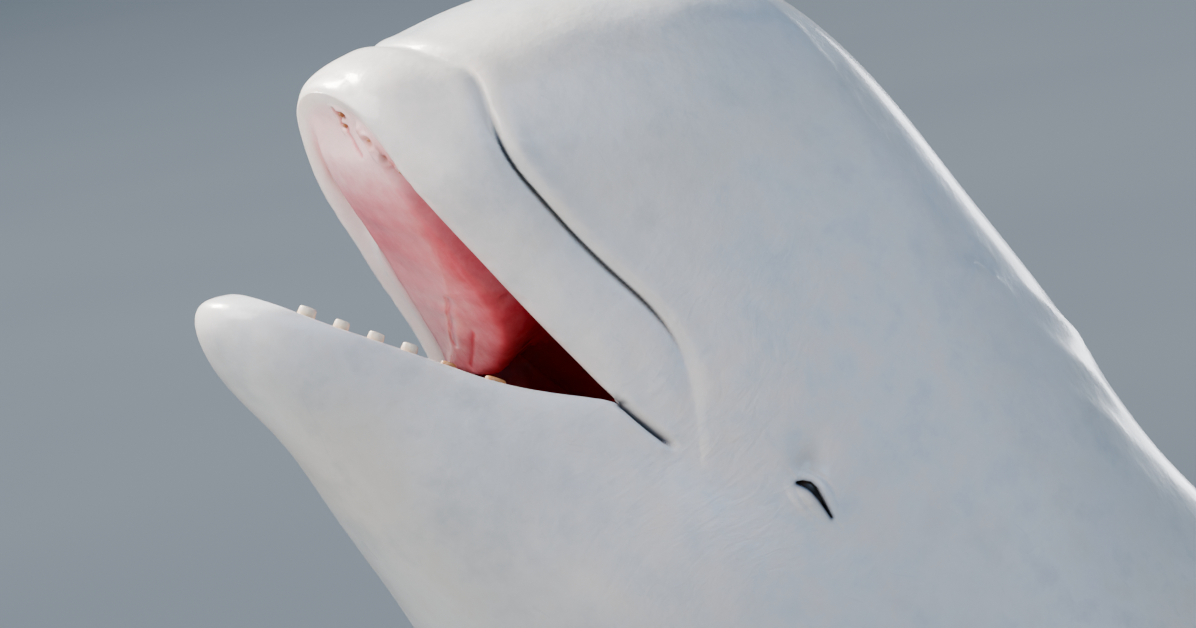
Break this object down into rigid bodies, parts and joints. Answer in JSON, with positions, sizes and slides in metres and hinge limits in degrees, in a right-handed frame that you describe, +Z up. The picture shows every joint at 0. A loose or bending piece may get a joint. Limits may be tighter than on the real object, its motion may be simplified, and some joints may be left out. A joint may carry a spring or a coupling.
{
  "type": "beluga whale model on a display stand",
  "caption": "Life-size adult beluga whale, rearing with its mouth open and its tail swept back, held up by two rods on a flat display base.",
  "frame": {"origin": "centre of the base board's underside, on the floor", "axes": "+Z up, the head towards -X, the animal's left side at -Y"},
  "size_m": [2.812, 1.1932, 2.7605],
  "materials": {
    "skin": "wet, off-white whale skin with a soft sheen",
    "mouth_lining": "moist pink mouth lining",
    "eye": "polished dark brown",
    "stand_board": "matt dark grey paint",
    "stand_steel": "satin grey paint"
  },
  "bodies": {
    "root": {"head": "skin", "lower_jaw": "skin", "neck": "skin", "thorax": "skin", "abdomen": "skin", "tail_stock": "skin", "fluke_left": "skin", "fluke_right": "skin", "flipper_left": "skin", "flipper_right": "skin", "tongue": "mouth_lining", "eye_left": "eye", "eye_right": "eye", "stand_base": "stand_board", "stand_flange_front": "stand_steel", "stand_flange_rear": "stand_steel", "stand_rod_front": "stand_steel", "stand_rod_rear": "stand_steel"}
  },
  "joints": []
}
